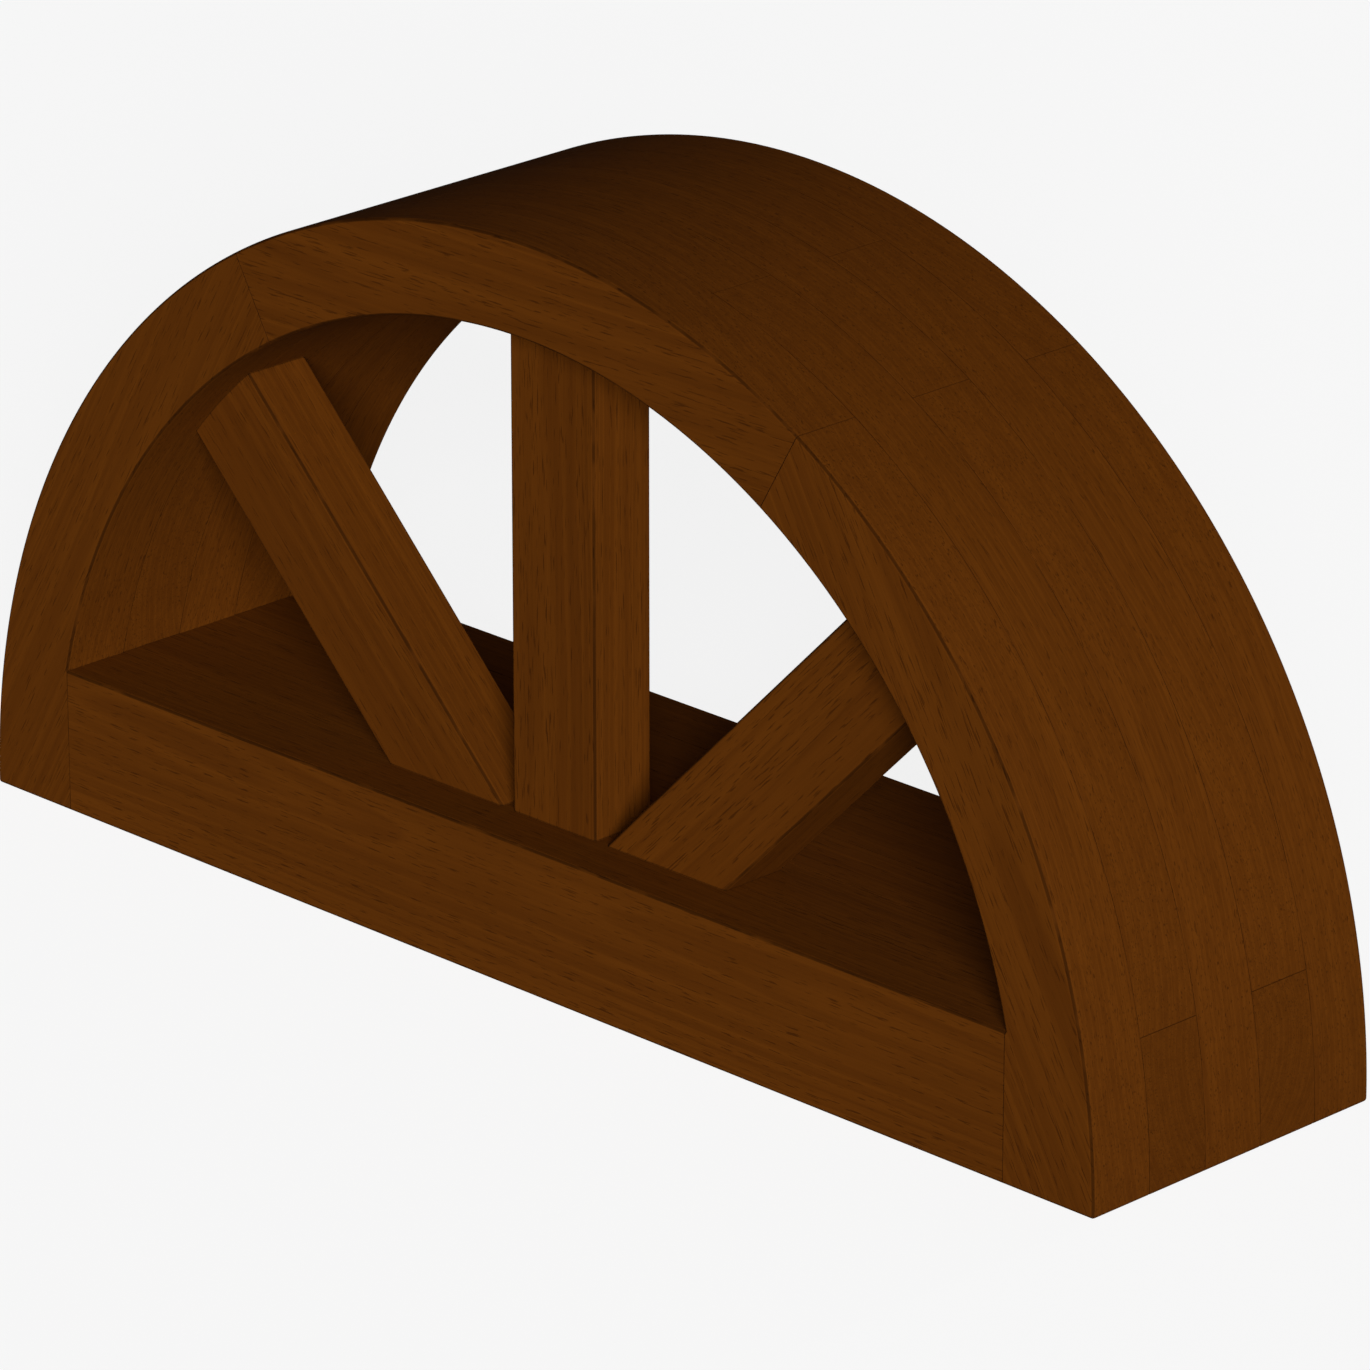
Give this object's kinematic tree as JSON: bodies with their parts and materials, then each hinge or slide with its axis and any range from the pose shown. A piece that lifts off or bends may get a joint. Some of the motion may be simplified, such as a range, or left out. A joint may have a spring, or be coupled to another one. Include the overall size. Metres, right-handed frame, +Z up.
{
  "type": "half-round window frame",
  "caption": "Fixed half-round timber window frame: an arched head on a straight sill, with flat bars that fan out from the middle, for a round-headed wall opening.",
  "frame": {"origin": "the middle of the underside, which is the centre of the arch's circles", "axes": "+X along the width, to the right seen from the front; +Y from the front face to the back face; +Z up"},
  "size_m": [0.8, 0.2, 0.4],
  "materials": {
    "head_timber": "satin",
    "sill_timber": "satin",
    "bar_timber": "satin"
  },
  "bodies": {
    "root": {"layer1_head_left": "head_timber", "layer1_head_crown": "head_timber", "layer1_head_right": "head_timber", "layer2_head_left": "head_timber", "layer2_head_crown": "head_timber", "layer2_head_right": "head_timber", "layer3_head_left": "head_timber", "layer3_head_crown": "head_timber", "layer3_head_right": "head_timber", "layer4_head_left": "head_timber", "layer4_head_crown": "head_timber", "layer4_head_right": "head_timber", "layer5_head_left": "head_timber", "layer5_head_crown": "head_timber", "layer5_head_right": "head_timber", "layer1_sill_board": "sill_timber", "layer2_sill_board": "sill_timber", "layer3_sill_board": "sill_timber", "layer4_sill_board": "sill_timber", "layer5_sill_board": "sill_timber", "left_bar": "bar_timber", "centre_bar": "bar_timber", "right_bar": "bar_timber"}
  },
  "joints": []
}
